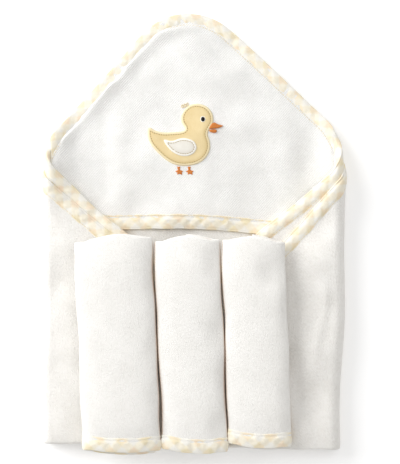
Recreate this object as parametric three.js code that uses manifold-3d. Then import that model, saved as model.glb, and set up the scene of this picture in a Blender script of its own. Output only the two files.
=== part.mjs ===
// A hooded baby towel folded for display, with three rolled washcloths lying on it.
// One square of terry is folded in half behind its hooded corner, and then its two side corners are
// folded to the front as lapels, the right one over the left one. The hood, the towel and the
// washcloths are edged with gingham binding. A duckling is appliqued on the hood.
// Millimetres. +Z is up, +Y runs towards the point of the hood, and the origin lies on the
// underside, in the middle of the folded towel.
import * as THREE from "three";
import { mergeVertices } from "three/addons/utils/BufferGeometryUtils.js";
import Module from "manifold-3d";

const wasm = await Module();
wasm.setup();

// Cloth
const PLY = 2.4; // one thickness of terry
const PITCH = 3; // height from one ply of the stack to the next
const LIP = 1.2; // terry pressed thin inside a binding
const BINDING = 13; // width of a binding
const SLOT = 1.6; // opening of a binding that holds one lip
const PLAY = 0.4; // clearance between neighbouring pieces
const THREAD = 0.25; // radius of a sewing thread
const THREAD_HEIGHT = THREAD + 0.05; // from a cloth to the middle of the thread on it
const STITCH_INSET = 11; // from a bound edge to its row of stitches

// The folded towel
const LEFT_FOLD = -147.8; // where the left side starts to turn over
const RIGHT_FOLD = 143.8;
const BOTTOM_FOLD = -223;
const FAR = 500; // beyond every outline
const SKY = 60; // above every piece
const APEX = [-10.8, 251.5]; // where the two hood seams would meet without the rounding
const APEX_RADIUS = 63;
const SEAM_SLOPE = { left: THREE.MathUtils.degToRad(48.5), right: THREE.MathUtils.degToRad(43) };
const BACK_DROP = 24; // how much lower the back half's corner lies than the front half's

const FOLD_STEPS = 10; // flat stretches round a side fold
const TURN_STEPS = 12; // flat stretches round the bottom fold, all the way round
const BOTTOM_TURN = (PITCH + PLY) / 2; // radius of the round bottom edge, where a ply turns into the next
const SLANTED_BINDING = 1.6 * BINDING; // width of a binding along the bottom edge, which it meets at a slant

// The stack, counted in plies from the underside
const LEVEL = {
  back: 0,
  body: 1,
  hood: 2,
  leftCorner: 3,
  leftInner: 4,
  leftOuter: 5,
  rightCorner: 5,
  rightInner: 6,
  rightOuter: 7,
  rolls: 8,
};
const bottomOf = (level) => level * PITCH;
const middleOf = (level) => level * PITCH + PLY / 2;
// A side fold turns the plies over about an axis half way up
const FOLD = {
  left: { x: LEFT_FOLD, z: (middleOf(LEVEL.body) + middleOf(LEVEL.leftInner)) / 2, sign: -1 },
  right: { x: RIGHT_FOLD, z: (middleOf(LEVEL.body) + middleOf(LEVEL.rightInner)) / 2, sign: 1 },
};

// The hood
const FRONT_CREST = [-25, 2.9]; // highest point of the hood's front edge
const FRONT_RADIUS = 714;
const FREE_INSET = 20; // from the hood seams to the part of the hood that lifts
const FREE_GAP = 1.5; // round the part of the hood that lifts

// Bound edges of the lapels, from the side fold to the corner of the square
const LAPELS = {
  leftInner: [[LEFT_FOLD, 74], [-118, 35], [-75, 0.5], [30, -95], [143, BOTTOM_FOLD]],
  leftOuter: [[LEFT_FOLD, 54], [-124, 26.5], [-84, -4.5], [18, -104], [126, BOTTOM_FOLD]],
  rightInner: [[RIGHT_FOLD, 66], [115, 34.5], [65.5, -4], [-28, -97], [-102, BOTTOM_FOLD]],
  rightOuter: [[RIGHT_FOLD, 46], [115, 13], [95, -10.5], [-4, -113], [-74, BOTTOM_FOLD]],
};

// The washcloths: middle of the roll, width, height, ends along Y, and lean in degrees
const ROLLS = {
  left: { x: -78.4, width: 78.6, height: 27, bottom: -224.5, top: -7, lean: 1.9 },
  middle: { x: -3.4, width: 66, height: 25, bottom: -225.5, top: -7, lean: 1.8 },
  right: { x: 63.6, width: 63, height: 24, bottom: -219, top: -7, lean: 1.4 },
};
const ROLL_STEP = 4.2; // from one turn of a roll to the next
const ROLL_TURNS = 1.4;
const ROLL_BOXINESS = 3.2; // 2 would be an ellipse
const ROLL_STEPS = 30; // straight stretches along the spiral
const ROLL_TAIL = 0.06; // turns of the bound edge at the end of the spiral
const ROLL_BINDING = 3; // thickness of a washcloth's bound edge
const ROLL_STITCHES = [0.7, 0.3]; // where its row of stitches runs, in turns before the end of the spiral

// The duckling, about its own middle
const DUCK_AT = [-12, 88];
const FELT = 1.1; // thickness of its patches
const FELT_GAP = 0.1; // under each layer of the applique
const DUCK_INSET = 3; // from a patch's edge to its running stitch

const palette = {
  terry: { color: "#f6f4ef", roughness: 0.95 },
  gingham: { color: "#f6e6c0", roughness: 0.85 },
  thread: { color: "#ead9ab", roughness: 0.6 },
  yellowFelt: { color: "#f3dc9c", roughness: 0.9 },
  creamFelt: { color: "#f3efe6", roughness: 0.9 },
  goldThread: { color: "#cdb06a", roughness: 0.6 },
  orangeThread: { color: "#d98534", roughness: 0.55 },
  blackThread: { color: "#1d1712", roughness: 0.5 },
};

const at = ([x, y]) => new THREE.Vector2(x, y);
const towel = new THREE.Group();

function solid(geometry) {
  const plain = geometry.clone();
  plain.deleteAttribute("normal");
  plain.deleteAttribute("uv");
  const merged = mergeVertices(plain, 1e-4);
  return new wasm.Manifold(
    new wasm.Mesh({
      numProp: 3,
      vertProperties: merged.attributes.position.array,
      triVerts: new Uint32Array(merged.index.array),
    }),
  );
}

// Names a finished piece, given as a three.js geometry or as a manifold solid, and adds it to the towel
function piece(name, made, look) {
  let geometry = made;
  if (!made.isBufferGeometry) {
    const mesh = made.getMesh();
    geometry = new THREE.BufferGeometry();
    geometry.setAttribute("position", new THREE.BufferAttribute(mesh.vertProperties, 3));
    geometry.setIndex(new THREE.BufferAttribute(mesh.triVerts, 1));
    geometry.computeVertexNormals();
  }
  const mesh = new THREE.Mesh(geometry, new THREE.MeshStandardMaterial(palette[look]));
  mesh.name = name;
  towel.add(mesh);
}

const joined = (solids) => solids.reduce((whole, next) => whole.add(next));

function prismGeometry(points, low, high) {
  const shape = new THREE.Shape(points);
  return new THREE.ExtrudeGeometry(shape, { depth: high - low, bevelEnabled: false }).translate(0, 0, low);
}

const prism = (points, low, high) => solid(prismGeometry(points, low, high));

function block([x0, x1], [y0, y1]) {
  const corners = [[x0, y0], [x1, y0], [x1, y1], [x0, y1]];
  return prism(corners.map(at), -1, SKY);
}

// A line of points moved sideways by a distance, to the right of the way it runs
function beside(points, distance) {
  return points.map((p, i) => {
    const before = points[Math.max(i - 1, 0)];
    const after = points[Math.min(i + 1, points.length - 1)];
    const along = after.clone().sub(before).normalize();
    return new THREE.Vector2(p.x + along.y * distance, p.y - along.x * distance);
  });
}

// Every edge of the cloth below is a line of points with the cloth on its right, together with the
// points that close the cloth behind it.

// The upper corner of the square: two seams and the rounding between them
function cornerEdge(drop) {
  const { left, right } = SEAM_SLOPE;
  const leftInward = new THREE.Vector2(Math.sin(left), -Math.cos(left));
  const rightInward = new THREE.Vector2(-Math.sin(right), -Math.cos(right));
  const reach = APEX_RADIUS / (1 + leftInward.dot(rightInward));
  const centre = at(APEX).addScaledVector(leftInward.clone().add(rightInward), reach);
  const rounding = new THREE.EllipseCurve(
    centre.x, centre.y - drop, APEX_RADIUS, APEX_RADIUS, Math.PI / 2 + left, Math.PI / 2 - right, true,
  ).getPoints(10);
  const start = rounding[0].clone().add(at([-FAR * Math.cos(left), -FAR * Math.sin(left)]));
  const end = rounding.at(-1).clone().add(at([FAR * Math.cos(right), -FAR * Math.sin(right)]));
  return { line: [start, ...rounding, end], closing: [at([FAR, BOTTOM_FOLD]), at([-FAR, BOTTOM_FOLD])] };
}

function lapelEdge(name) {
  const curve = new THREE.SplineCurve(LAPELS[name].map(at)).getPoints(12);
  const beyondFold = curve[0].clone().multiplyScalar(3).addScaledVector(curve[1], -2);
  const line = [beyondFold, ...curve];
  const side = Math.sign(curve[0].x) * FAR;
  const closing = [at([side, BOTTOM_FOLD]), at([side, beyondFold.y])];
  // The right lapels run the other way, so that their cloth lies on the right as well.
  return name.startsWith("left") ? { line, closing } : { line: line.reverse(), closing: closing.reverse() };
}

const frontHeight = (x) => FRONT_CREST[1] - (x - FRONT_CREST[0]) ** 2 / (2 * FRONT_RADIUS);

function frontEdge() {
  const line = [];
  for (let x = 160; x >= -160; x -= 20) line.push(at([x, frontHeight(x)]));
  return { line, closing: [at([-160, FAR]), at([160, FAR])] };
}

const region = (edge, inset, low, high) => prism([...beside(edge.line, inset), ...edge.closing], low, high);

// A ply with one bound edge: full thickness up to the binding, and a thin lip inside it
function boundPly(edge, level) {
  const low = bottomOf(level);
  const pressed = (PLY - LIP) / 2;
  return region(edge, BINDING, low, low + PLY).add(region(edge, 1, low + pressed, low + PLY - pressed));
}

// The binding of an edge, folded round the lips of the plies on the given levels
function binding(edge, levels) {
  const low = bottomOf(levels[0]);
  const high = bottomOf(levels.at(-1)) + PLY;
  const strip = region(edge, 0, low, high).subtract(region(edge, BINDING - PLAY, low - 1, high + 1));
  return levels.reduce(
    (made, level) => made.subtract(region(edge, 0.5, middleOf(level) - SLOT / 2, middleOf(level) + SLOT / 2)),
    strip,
  );
}

// A sewing thread through points in space
function threadThrough(points, steps = points.length - 1) {
  const extrudePath = new THREE.CatmullRomCurve3(points);
  const section = new THREE.Shape(new THREE.EllipseCurve(0, 0, THREAD, THREAD).getPoints(4).slice(0, -1));
  return new THREE.ExtrudeGeometry(section, { extrudePath, steps, bevelEnabled: false });
}

// A sewing thread lying on a cloth of the given top height, along a line of points
const thread = (points, top) =>
  threadThrough(points.map((p) => new THREE.Vector3(p.x, p.y, top + THREAD_HEIGHT)));

const lineWithin = (points, xLow, xHigh) =>
  points.filter((p) => p.x > xLow + 3 && p.x < xHigh - 3 && p.y > BOTTOM_FOLD + 4);

// Turns flat cloth over a side fold. X of the flat cloth runs from -0.5 to 0.5 round the fold,
// and its Z is the height it comes from.
function turnOver(side, geometry) {
  const { x, z, sign } = FOLD[side];
  const spot = geometry.attributes.position;
  for (let i = 0; i < spot.count; i++) {
    const angle = spot.getX(i) * Math.PI;
    const radius = z - spot.getZ(i);
    spot.setXYZ(i, x + sign * radius * Math.cos(angle), spot.getY(i), z + radius * Math.sin(angle));
  }
  // The left fold mirrors the cloth, which would turn its faces inward.
  if (side === "left") {
    const corners = geometry.index.array;
    for (let i = 0; i < corners.length; i += 3) [corners[i], corners[i + 1]] = [corners[i + 1], corners[i]];
  }
  return solid(geometry);
}

// A stretch of a ply turned over a side fold, between two heights along Y. Each is given where the
// stretch leaves the middle of the towel and where it reaches the lapel.
function foldBand(side, level, [lowStart, lowEnd], [highStart, highEnd], thickness) {
  const band = new THREE.BoxGeometry(1, 1, thickness, FOLD_STEPS, 1, 1).translate(0, 0, middleOf(level));
  const spot = band.attributes.position;
  for (let i = 0; i < spot.count; i++) {
    const share = spot.getX(i) + 0.5;
    const low = THREE.MathUtils.lerp(lowStart, lowEnd, share);
    const high = THREE.MathUtils.lerp(highStart, highEnd, share);
    spot.setY(i, spot.getY(i) > 0 ? high : low);
  }
  return turnOver(side, band);
}

// Heights of a bound edge on both ends of a side fold, drawn in by a distance
function foldEdge(side, which, inset) {
  const { left, right } = SEAM_SLOPE;
  const slope = side === "left" ? left : right;
  const drop = which === "Outer" ? BACK_DROP : 0;
  const seamHeight = APEX[1] - drop - Math.abs(FOLD[side].x - APEX[0]) * Math.tan(slope);
  const lapelHeight = LAPELS[side + which][0][1];
  const down = inset / Math.cos(slope);
  return [seamHeight - down, lapelHeight - down];
}

const foldFoot = [BOTTOM_FOLD, BOTTOM_FOLD];
const foldCloth = (side, which, level) =>
  foldBand(side, level, foldFoot, foldEdge(side, which, BINDING), PLY).add(
    foldBand(side, level, foldFoot, foldEdge(side, which, 1), LIP),
  );
const foldBinding = (side, which, level) =>
  foldBand(side, level, foldEdge(side, which, BINDING - PLAY), foldEdge(side, which, 0), PLY).subtract(
    foldBand(side, level, foldEdge(side, which, BINDING + 1), foldEdge(side, which, 0.5), SLOT),
  );

// The round bottom edge where a ply turns into the one above it
function bottomTurn([x0, x1], lowLevel) {
  const turn = new THREE.CylinderGeometry(BOTTOM_TURN, BOTTOM_TURN, x1 - x0, TURN_STEPS).rotateZ(Math.PI / 2);
  return solid(turn.translate((x0 + x1) / 2, BOTTOM_FOLD, bottomOf(lowLevel) + BOTTOM_TURN));
}
function bottomTurnOfFold(side) {
  const turn = new THREE.CylinderGeometry(BOTTOM_TURN, BOTTOM_TURN, 1, TURN_STEPS, FOLD_STEPS);
  turn.rotateZ(Math.PI / 2).translate(0, BOTTOM_FOLD, bottomOf(LEVEL.back) + BOTTOM_TURN);
  return turnOver(side, turn);
}

const seam = cornerEdge(0);
const backSeam = cornerEdge(BACK_DROP);
const front = frontEdge();
const lapels = Object.fromEntries(Object.keys(LAPELS).map((name) => [name, lapelEdge(name)]));
const betweenFolds = block([LEFT_FOLD, RIGHT_FOLD], [BOTTOM_FOLD, FAR]);
const lapelSide = {
  left: block([LEFT_FOLD, FAR], [BOTTOM_FOLD, FAR]),
  right: block([-FAR, RIGHT_FOLD], [BOTTOM_FOLD, FAR]),
};

function addTowelSquare() {
  const parts = [
    boundPly(seam, LEVEL.body).intersect(betweenFolds),
    boundPly(backSeam, LEVEL.back).intersect(betweenFolds),
    bottomTurn([LEFT_FOLD, RIGHT_FOLD], LEVEL.back),
  ];
  for (const side of ["left", "right"]) {
    const innerLevel = LEVEL[side + "Inner"];
    const tip = LAPELS[side + "Outer"].at(-1)[0] + FOLD[side].sign * SLANTED_BINDING;
    parts.push(
      foldCloth(side, "Inner", LEVEL.body),
      foldCloth(side, "Outer", LEVEL.back),
      bottomTurnOfFold(side),
      boundPly(lapels[side + "Inner"], innerLevel).intersect(lapelSide[side]),
      boundPly(lapels[side + "Outer"], LEVEL[side + "Outer"]).intersect(lapelSide[side]),
      bottomTurn([FOLD[side].x, tip].sort((a, b) => a - b), innerLevel),
    );
  }
  piece("towel_square", joined(parts), "terry");
}

// The tape along the square's edge, from one side corner of the square to the other
function addEdgeBinding(name, edge, levels, which) {
  const parts = [binding(edge, levels).intersect(betweenFolds)];
  for (const side of ["left", "right"]) {
    parts.push(foldBinding(side, which, levels[0]));
    parts.push(binding(lapels[side + which], [LEVEL[side + which]]).intersect(lapelSide[side]));
  }
  piece(name, joined(parts), "gingham");
}

function addTopstitches() {
  const seamLine = new THREE.Path(beside(seam.line, STITCH_INSET)).getSpacedPoints(70);
  const onHood = lineWithin(seamLine, LEFT_FOLD, RIGHT_FOLD);
  piece("hood_seam_topstitch", thread(onHood, bottomOf(LEVEL.hood) + PLY), "thread");
  const frontLine = beside(front.line, STITCH_INSET).filter((p) => p.x > -75 && p.x < 65);
  piece("hood_front_topstitch", thread(frontLine, bottomOf(LEVEL.hood) + PLY), "thread");
  for (const [name, edge] of Object.entries(lapels)) {
    const line = lineWithin(beside(edge.line, STITCH_INSET), LEFT_FOLD, RIGHT_FOLD);
    const label = name.replace("Inner", "_inner").replace("Outer", "_outer");
    piece(`${label}_lapel_topstitch`, thread(line, bottomOf(LEVEL[name]) + PLY), "thread");
  }
}

// The plan of the hood, drawn in from its front edge and from its seams
const hoodPlan = (frontInset, seamInset, low, high) =>
  region(front, frontInset, low, high).intersect(region(seam, seamInset, low, high));

// The plan of both lapels, grown by a margin
const lapelPlan = (margin) =>
  region(lapels.leftInner, -margin, -1, SKY).add(region(lapels.rightInner, -margin, -1, SKY));

function addHood() {
  const low = bottomOf(LEVEL.hood);
  const high = low + PLY;
  const pressed = (PLY - LIP) / 2;
  const rim = 6; // held strip along the side folds
  const clear = (gap) => block([LEFT_FOLD + rim - gap, RIGHT_FOLD - rim + gap], [-FAR, FAR]);
  const panel = hoodPlan(BINDING, FREE_INSET, low, high)
    .add(hoodPlan(1, FREE_INSET, low + pressed, high - pressed))
    .subtract(lapelPlan(2))
    .intersect(clear(0));
  piece("hood_panel", panel, "terry");
  const slot = region(front, 0.5, middleOf(LEVEL.hood) - SLOT / 2, middleOf(LEVEL.hood) + SLOT / 2);
  const edging = hoodPlan(0, FREE_INSET, low, high)
    .subtract(region(front, BINDING - PLAY, low - 1, high + 1))
    .subtract(slot)
    .subtract(lapelPlan(2));
  piece("hood_front_binding", edging, "gingham");
  const opening = hoodPlan(-5, FREE_INSET - FREE_GAP, low - 1, high + 1)
    .subtract(lapelPlan(2 - FREE_GAP))
    .intersect(clear(FREE_GAP));
  const held = [
    hoodPlan(0, BINDING, low, high)
      .add(hoodPlan(0, 1, low + pressed, high - pressed))
      .subtract(opening)
      .intersect(betweenFolds),
  ];
  for (const side of ["left", "right"]) {
    const foot = frontHeight(FOLD[side].x);
    held.push(foldBand(side, LEVEL.hood, [foot, foot], foldEdge(side, "Inner", BINDING), PLY));
    const cornerLow = bottomOf(LEVEL[side + "Corner"]);
    const corner = region(lapels[side + "Inner"], BINDING, cornerLow, cornerLow + PLY);
    held.push(corner.intersect(lapelSide[side]).intersect(block([-FAR, FAR], [foot, FAR])));
  }
  piece("hood_sewn_part", joined(held), "terry");
}

const onDuck = ([x, y]) => new THREE.Vector2(DUCK_AT[0] + x, DUCK_AT[1] + y);

function roundOutline(points, count) {
  const corners = points.map(onDuck).map((p) => new THREE.Vector3(p.x, p.y, 0));
  const curve = new THREE.CatmullRomCurve3(corners, true, "catmullrom", 0.5);
  return curve.getPoints(count).slice(0, -1).map((p) => new THREE.Vector2(p.x, p.y));
}

// All outlines of the duckling run clockwise, so their inside is on the right.
const DUCK_BODY = [
  [-36, 17.6], [-33.4, 18.8], [-28, 15.4], [-19, 13.6], [-9, 14], [-1, 14.8], [2.6, 17.4], [-1.4, 24],
  [-1, 33], [6, 41.2], [15.4, 43.4], [25, 40.4], [31, 33], [32, 24], [28, 16.6], [26, 11.6], [28.4, 4],
  [28.4, -4.5], [24.4, -12.6], [16.6, -18.8], [6, -21.4], [-6, -20.8], [-16.6, -15.8], [-27, -6.4],
  [-33.6, 2], [-36.2, 10],
];
const DUCK_WING = [
  [-20, 6], [-11, 4.6], [-3, 7.2], [5, 7.2], [12, 4.2], [14.8, -2.6], [11, -9], [3, -11.6], [-6, -9.8],
  [-14, -4],
];
const UPPER_BILL = [
  [27.6, 17.2], [29.4, 21.2], [32.8, 23.6], [37, 21.6], [42, 20.2], [37.4, 17.8], [32, 17.2],
];
const LOWER_BILL = [[27.4, 15.4], [30, 16.4], [34.4, 16.4], [35.6, 14.4], [33.6, 12.8], [29, 13.4]];
const TUFT = [[-0.4, 39.4], [-1.4, 41.8], [0.2, 43], [1.4, 41.4], [2.2, 43.2], [3.6, 44.4], [4.6, 43.2]];

// One leg, straight down to a webbed foot of three toes
const duckFoot = (x) => [
  [x - 1.5, -22.2], [x + 1.5, -22.2], [x + 0.8, -24.6], [x + 1.4, -26], [x + 4.4, -26.6], [x + 2.9, -28.2],
  [x + 3.6, -30.4], [x + 0.6, -29.2], [x - 1.4, -30.2], [x - 1.2, -28], [x - 3.4, -27.2], [x - 0.8, -25.8],
  [x - 0.7, -24.6],
];

function addDuckling() {
  const onHood = bottomOf(LEVEL.hood) + PLY + FELT_GAP;
  const onBody = onHood + FELT + FELT_GAP;
  const onWing = onBody + FELT + FELT_GAP;
  const body = roundOutline(DUCK_BODY, 56);
  const wing = roundOutline(DUCK_WING, 28);
  const stitches = (outline) => beside(outline, DUCK_INSET).slice(2, -2);
  piece("duck_body_patch", prismGeometry(body, onHood, onHood + FELT), "yellowFelt");
  piece("duck_wing_patch", prismGeometry(wing, onBody, onBody + FELT), "creamFelt");
  piece("duck_body_topstitch", thread(stitches(body), onBody), "goldThread");
  piece("duck_wing_topstitch", thread(stitches(wing), onWing), "goldThread");
  const [eyeX, eyeY] = onDuck([21, 27]).toArray();
  const eye = new THREE.SphereGeometry(1, 12, 6).scale(2.1, 2.5, 0.5);
  piece("duck_eye", eye.translate(eyeX, eyeY, onBody + 0.5), "blackThread");
  const satin = (name, outline, low) =>
    piece(name, prismGeometry(outline, low, low + FELT), "orangeThread");
  satin("duck_upper_bill", roundOutline(UPPER_BILL, 18), onBody);
  satin("duck_lower_bill", roundOutline(LOWER_BILL, 14), onBody);
  satin("duck_left_foot", duckFoot(-4).map(onDuck), onHood);
  satin("duck_right_foot", duckFoot(6.8).map(onDuck), onHood);
  piece("duck_tuft", thread(TUFT.map(onDuck), onHood), "goldThread");
}

// Middle line of the cloth in a rolled washcloth, seen from its end: a flattened spiral that starts
// inside and ends underneath, where the count of turns is full. Its widest places lie a quarter and
// three quarters of a turn before the end, and it is drawn so that they are its width apart.
function rollPoint({ width, height }, turns) {
  const left = ROLL_TURNS - turns;
  const inward = left * ROLL_STEP + ROLL_BINDING / 2;
  const halfWidth = (width + ROLL_STEP) / 2 - inward;
  const halfHeight = height / 2 - inward;
  const across = Math.sin(left * 2 * Math.PI);
  const up = -Math.cos(left * 2 * Math.PI);
  const out = (Math.abs(across) ** ROLL_BOXINESS + Math.abs(up) ** ROLL_BOXINESS) ** (-1 / ROLL_BOXINESS);
  return at([halfWidth * across * out - ROLL_STEP / 4, halfHeight * up * out + height / 2]);
}

// The unit direction that points out of the roll
function rollOutward(roll, turns) {
  const along = rollPoint(roll, turns + 1e-3).sub(rollPoint(roll, turns)).normalize();
  return at([along.y, -along.x]);
}

// Lays a piece of a roll, drawn about the roll's middle, in its place on the towel
function layRoll(roll, geometry) {
  const lean = THREE.MathUtils.degToRad(roll.lean);
  return geometry.rotateZ(lean).translate(roll.x, (roll.top + roll.bottom) / 2, bottomOf(LEVEL.rolls) + PLAY);
}

// Where things end along the spiral, in turns: the full cloth, the start of the bound edge, the thin
// lip inside it, its slot, and the bound edge itself. The slot also starts a little before the cloth.
const rollEnds = [0, 0.005, 0.02, 0.025, ROLL_TAIL].map((more) => ROLL_TURNS - ROLL_TAIL + more);
const rollTurns = [-0.005];
for (let i = 0; i < ROLL_STEPS; i++) rollTurns.push((i / ROLL_STEPS) * rollEnds[0]);
const SLOT_START = 0;
const CLOTH_START = 1;
const [CLOTH_END, TAIL_START, LIP_END, SLOT_END, TAIL_END] = rollEnds.map((end) => rollTurns.push(end) - 1);

// A strip of rolled cloth: the middle line between two of its points, thickened, from one Y to another
function rollStrip(roll, [from, to], [y0, y1], thickness) {
  const outer = [];
  const inner = [];
  for (const turns of rollTurns.slice(from, to + 1)) {
    const aside = rollOutward(roll, turns).multiplyScalar(thickness / 2);
    outer.push(rollPoint(roll, turns).add(aside));
    inner.unshift(rollPoint(roll, turns).sub(aside));
  }
  // The section is drawn in XY and run along Z; this lays it down along Y.
  const strip = prismGeometry([...outer, ...inner], 0, y1 - y0).rotateX(Math.PI / 2);
  return solid(layRoll(roll, strip.translate(0, y1 - (roll.top + roll.bottom) / 2, 0)));
}

// The row of stitches over the top of a roll, near its lower end
function rollThread(roll) {
  const y = (roll.bottom - roll.top) / 2 + STITCH_INSET;
  const [start, end] = ROLL_STITCHES.map((left) => ROLL_TURNS - left);
  const onTop = rollTurns.filter((turns) => turns > start && turns < end);
  const points = onTop.map((turns) => {
    const out = rollOutward(roll, turns).multiplyScalar(ROLL_BINDING / 2 + THREAD + PLAY);
    const spot = out.add(rollPoint(roll, turns));
    return new THREE.Vector3(spot.x, y, spot.y);
  });
  return layRoll(roll, threadThrough(points, 2 * points.length));
}

function addWashcloth(name, roll) {
  const { bottom, top } = roll;
  const cloth = rollStrip(roll, [CLOTH_START, CLOTH_END], [bottom + BINDING, top], PLY).add(
    rollStrip(roll, [CLOTH_START, LIP_END], [bottom + 1, top], LIP),
  );
  const edging = rollStrip(roll, [CLOTH_START, TAIL_END], [bottom, bottom + BINDING - PLAY], ROLL_BINDING)
    .add(rollStrip(roll, [TAIL_START, TAIL_END], [bottom, top], ROLL_BINDING))
    .subtract(rollStrip(roll, [SLOT_START, SLOT_END], [bottom + 0.5, top + 1], SLOT));
  piece(`${name}_washcloth`, cloth, "terry");
  piece(`${name}_washcloth_binding`, edging, "gingham");
  piece(`${name}_washcloth_topstitch`, rollThread(roll), "thread");
}

addTowelSquare();
addEdgeBinding("front_edge_binding", seam, [LEVEL.body, LEVEL.hood], "Inner");
addEdgeBinding("back_edge_binding", backSeam, [LEVEL.back], "Outer");
addTopstitches();
addHood();
addDuckling();
Object.entries(ROLLS).forEach(([name, roll]) => addWashcloth(name, roll));

export default towel;
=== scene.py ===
import math

import bmesh
import bpy
import numpy as np
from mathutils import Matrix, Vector
from mathutils.geometry import delaunay_2d_cdt


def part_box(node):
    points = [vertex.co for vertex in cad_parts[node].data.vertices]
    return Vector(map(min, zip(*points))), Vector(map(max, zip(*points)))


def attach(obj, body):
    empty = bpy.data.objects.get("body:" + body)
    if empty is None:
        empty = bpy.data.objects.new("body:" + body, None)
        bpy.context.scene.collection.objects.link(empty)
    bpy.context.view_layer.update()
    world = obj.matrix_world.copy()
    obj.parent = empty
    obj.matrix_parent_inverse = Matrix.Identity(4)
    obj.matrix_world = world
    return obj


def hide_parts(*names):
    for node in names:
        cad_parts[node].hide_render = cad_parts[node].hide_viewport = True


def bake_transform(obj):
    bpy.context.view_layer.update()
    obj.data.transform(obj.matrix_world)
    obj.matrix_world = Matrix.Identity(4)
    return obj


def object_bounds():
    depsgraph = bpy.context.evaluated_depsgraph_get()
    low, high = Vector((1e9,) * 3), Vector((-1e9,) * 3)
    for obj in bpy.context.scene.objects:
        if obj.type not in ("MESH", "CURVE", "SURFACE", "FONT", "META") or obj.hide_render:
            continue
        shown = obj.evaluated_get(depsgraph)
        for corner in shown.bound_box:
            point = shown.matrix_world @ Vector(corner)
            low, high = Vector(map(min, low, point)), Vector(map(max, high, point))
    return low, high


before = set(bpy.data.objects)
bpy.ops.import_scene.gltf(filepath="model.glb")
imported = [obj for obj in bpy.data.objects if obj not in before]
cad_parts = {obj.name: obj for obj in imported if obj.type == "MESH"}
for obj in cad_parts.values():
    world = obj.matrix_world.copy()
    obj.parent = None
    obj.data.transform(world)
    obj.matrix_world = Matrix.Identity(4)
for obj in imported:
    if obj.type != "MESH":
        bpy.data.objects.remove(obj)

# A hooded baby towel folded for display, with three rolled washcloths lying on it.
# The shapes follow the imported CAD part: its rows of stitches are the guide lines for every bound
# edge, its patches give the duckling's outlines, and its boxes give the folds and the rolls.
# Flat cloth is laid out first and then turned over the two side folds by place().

CAD_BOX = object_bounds()
MM = 0.001

# ---------------------------------------------------------------- the folded stack, from the frame

PLY = 2.4 * MM  # one thickness of terry in the frame
PLUSH = 2.85 * MM  # the same with its pile
BINDING = 13 * MM  # width of a binding
STITCH_INSET = 11 * MM  # from a bound edge to its row of stitches
CLOTH_INSET = 2.5 * MM  # from a bound edge to the cloth's own edge inside the binding
TOP_LEVEL = 7  # of the uppermost ply, counted from 0 on the underside

SQUARE_LOW, SQUARE_HIGH = [Vector(corner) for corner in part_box("towel_square")]
PITCH = (SQUARE_HIGH.z - PLY) / TOP_LEVEL


def middle_of(level):
    return level * PITCH + PLY / 2


BACK, BODY, HOOD = middle_of(0), middle_of(1), middle_of(2)
LEFT_INNER, RIGHT_INNER = middle_of(4), middle_of(6)
FOLD_Z = {-1: (BODY + LEFT_INNER) / 2, 1: (BODY + RIGHT_INNER) / 2}
FOLD_X = {-1: SQUARE_LOW.x + FOLD_Z[-1], 1: SQUARE_HIGH.x - FOLD_Z[1]}
BOTTOM = SQUARE_LOW.y + (PITCH + PLY) / 2
TIP_RISE = 5 * MM  # from the bottom fold to where the lapels' edges end
RIGHT_DROOP = 2 * PITCH  # how far the right lapel sinks where the left one isn't under it


def points_of(mesh):
    points = np.empty(len(mesh.vertices) * 3)
    mesh.vertices.foreach_get("co", points)
    return points.reshape(-1, 3)


def node_points(node):
    return points_of(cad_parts[node].data)


def smoothstep(t):
    t = np.clip(t, 0, 1)
    return t * t * (3 - 2 * t)


def unit(vectors):
    return vectors / np.linalg.norm(vectors, axis=-1, keepdims=True)


def extended(line, reach):
    """A line of x, y points made longer at both ends, straight on."""
    first = line[0] + unit(line[0] - line[2]) * reach
    last = line[-1] + unit(line[-1] - line[-3]) * reach
    return np.vstack([first, line, last])


def lengths_along(line):
    return np.concatenate([[0], np.cumsum(np.linalg.norm(np.diff(line, axis=0), axis=1))])


def resampled(line, step):
    """The same line of x, y points, evenly spaced along it."""
    lengths = lengths_along(line)
    even = np.linspace(0, lengths[-1], max(2, int(lengths[-1] / step) + 1))
    return np.column_stack([np.interp(even, lengths, line[:, k]) for k in range(2)])


def averaged(line, count):
    """Each point becomes the mean of itself and its neighbours, count points in all."""
    share = np.ones(count) / count
    return np.column_stack([np.convolve(line[:, k], share, "valid") for k in range(2)])


def normals_of(line):
    """Unit normals of a line of x, y points, to the right of the way it runs."""
    along = unit(np.gradient(line, axis=0))
    return np.column_stack([along[:, 1], -along[:, 0]])


def guide(node, outward):
    """The bound edge beside a CAD row of stitches, from left to right. outward is 1 when the edge lies
    above the stitches and -1 when it lies below them."""
    points = node_points(node)[:, :2]
    points = points[np.argsort(points[:, 0])]
    line = resampled(extended(resampled(averaged(points, 8), 4 * MM), 60 * MM), 3 * MM)
    return line - normals_of(line) * STITCH_INSET * outward


SEAM = guide("hood_seam_topstitch", 1)
BACK_DROP = node_points("front_edge_binding")[:, 1].max() - node_points("back_edge_binding")[:, 1].max()
BACK_SEAM = SEAM - [0, BACK_DROP]
FRONT = guide("hood_front_topstitch", -1)
LAPEL = {
    (side, ply): guide(f"{name}_{ply}_lapel_topstitch", 1)
    for side, name in ((-1, "left"), (1, "right"))
    for ply in ("inner", "outer")
}


def height_on(line, x):
    return np.interp(x, line[:, 0], line[:, 1])


def distance_to(line, x, y):
    """Distance of each point x, y to a line of points."""
    best = np.full(x.shape, np.inf)
    for p, q in zip(line[:-1], line[1:]):
        d = q - p
        t = np.clip(((x - p[0]) * d[0] + (y - p[1]) * d[1]) / (d @ d), 0, 1)
        best = np.minimum(best, np.hypot(x - p[0] - t * d[0], y - p[1] - t * d[1]))
    return best


# ---------------------------------------------------------------- soft shape


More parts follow.
